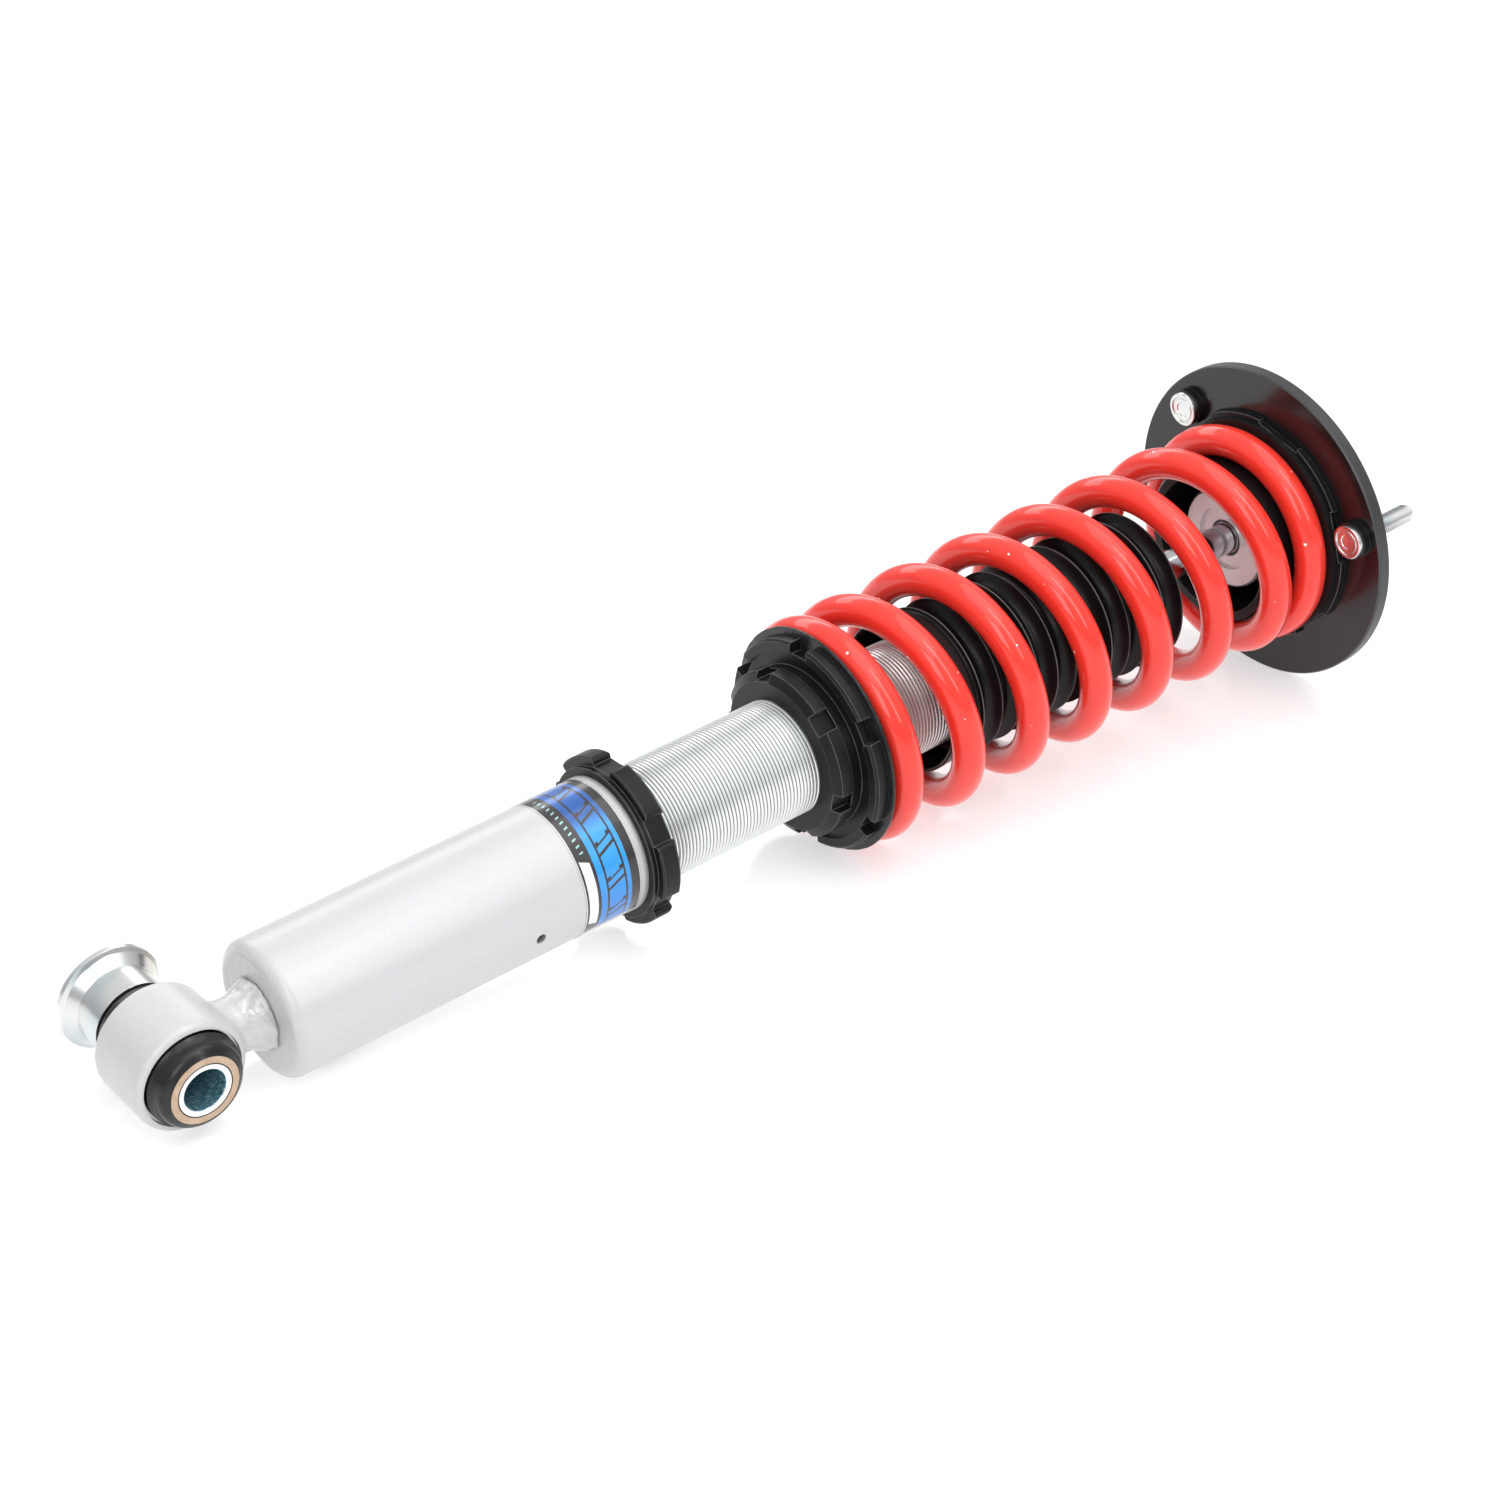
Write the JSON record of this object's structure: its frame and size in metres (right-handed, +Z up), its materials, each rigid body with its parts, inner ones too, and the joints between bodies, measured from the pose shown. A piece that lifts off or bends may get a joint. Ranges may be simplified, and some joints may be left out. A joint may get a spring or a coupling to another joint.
{
  "type": "coilover",
  "caption": "Height-adjustable damper with a coil spring on a threaded perch, a rubber-bushed lower eye and a round top mount with studs.",
  "frame": {"origin": "on the surface the coilover lies on, under the middle of its bounding box", "axes": "+Z up from that surface, +X from the lower eye towards the top mount, +Y level across the damper. The damper's own axis leans up from +X by about 4.9 degrees, and the lower eye's bore is turned about that axis by 5.5 degrees from +Y."},
  "size_m": [0.7264, 0.17, 0.1699],
  "materials": {
    "silver_paint": "satin metallic paint",
    "zinc_plate": "bright zinc plate",
    "black_anodised": "matte black anodised",
    "red_powder_coat": "glossy red powder coat",
    "gloss_black": "glossy black coat",
    "rubber": "moulded rubber",
    "boot_rubber": "satin moulded rubber",
    "bronze": "sintered bronze",
    "hard_chrome": "ground hard chrome",
    "steel": "machined",
    "aluminium": "machined",
    "foam": "cellular polyurethane",
    "ptfe": "filled PTFE",
    "label": "printed film"
  },
  "bodies": {
    "casing": {"lower_casing": "silver_paint", "eye_mount": "silver_paint", "casing_label": "label", "bush_shell": "steel", "bush_rubber": "rubber"},
    "bush_core": {"bush_inner_sleeve": "bronze", "flanged_spacer": "zinc_plate"},
    "tube": {"damper_tube": "zinc_plate", "tube_base_plug": "steel", "gas_valve_screw": "steel", "rod_guide": "aluminium", "rod_seal": "rubber", "gland_nut": "black_anodised", "coil_spring": "red_powder_coat", "dust_boot": "boot_rubber"},
    "lower_collar": {"lower_lock_collar": "black_anodised"},
    "perch_lock": {"perch_lock_ring": "black_anodised"},
    "perch": {"spring_perch": "black_anodised", "lower_spring_pad": "rubber"},
    "gas_piston": {"gas_piston": "aluminium", "gas_piston_seal": "rubber"},
    "rod": {"piston_rod": "hard_chrome", "piston": "steel", "piston_band": "ptfe", "compression_shims": "steel", "rebound_shims": "steel", "piston_nut": "steel", "rebound_stop": "ptfe", "bump_stop": "foam", "bearing_ball": "hard_chrome", "lower_rod_washer": "steel", "upper_rod_washer": "zinc_plate", "rod_top_nut": "zinc_plate"},
    "top_mount": {"top_plate": "gloss_black", "mount_studs": "zinc_plate", "bearing_housing": "aluminium", "bearing_race": "steel", "bearing_circlip": "steel", "upper_spring_seat": "black_anodised", "upper_spring_pad": "rubber"}
  },
  "joints": [
    {"name": "body_height", "type": "slide", "parent": "casing", "child": "tube", "axis": [0.9964, 0, 0.0852], "range_m": [0, 0.03]},
    {"name": "damper_stroke", "type": "slide", "parent": "tube", "child": "rod", "axis": [-0.9964, 0, -0.0852], "range_m": [0, 0.075], "stiffness_N_per_m": 110000, "deforming": ["coil_spring", "dust_boot"]},
    {"name": "gas_piston_slide", "type": "slide", "parent": "tube", "child": "gas_piston", "axis": [-0.9964, 0, -0.0852], "range_m": [0, 0.01]},
    {"name": "lower_collar_turn", "type": "hinge", "parent": "tube", "child": "lower_collar", "pos_m": [-0.10017, 0, 0.04879], "axis": [0.9964, 0, 0.0852], "continuous": true},
    {"name": "perch_lock_turn", "type": "hinge", "parent": "tube", "child": "perch_lock", "pos_m": [0.00395, 0, 0.0577], "axis": [0.9964, 0, 0.0852], "continuous": true},
    {"name": "spring_perch_turn", "type": "hinge", "parent": "tube", "child": "perch", "pos_m": [0.01312, 0, 0.05848], "axis": [0.9964, 0, 0.0852], "continuous": true},
    {"name": "bush_twist", "type": "hinge", "parent": "casing", "child": "bush_core", "pos_m": [-0.33581, 0, 0.02864], "axis": [-0.0082, 0.9954, 0.0955], "range_deg": [-15, 15], "stiffness_Nm_per_rad": 1.5},
    {"name": "top_mount_turn", "type": "hinge", "parent": "rod", "child": "top_mount", "pos_m": [0.30984, 0, 0.08386], "axis": [0.9964, 0, 0.0852], "continuous": true}
  ],
  "couplings": [
    {"joint": "gas_piston_slide", "follows": "damper_stroke", "ratio": 0.121}
  ]
}
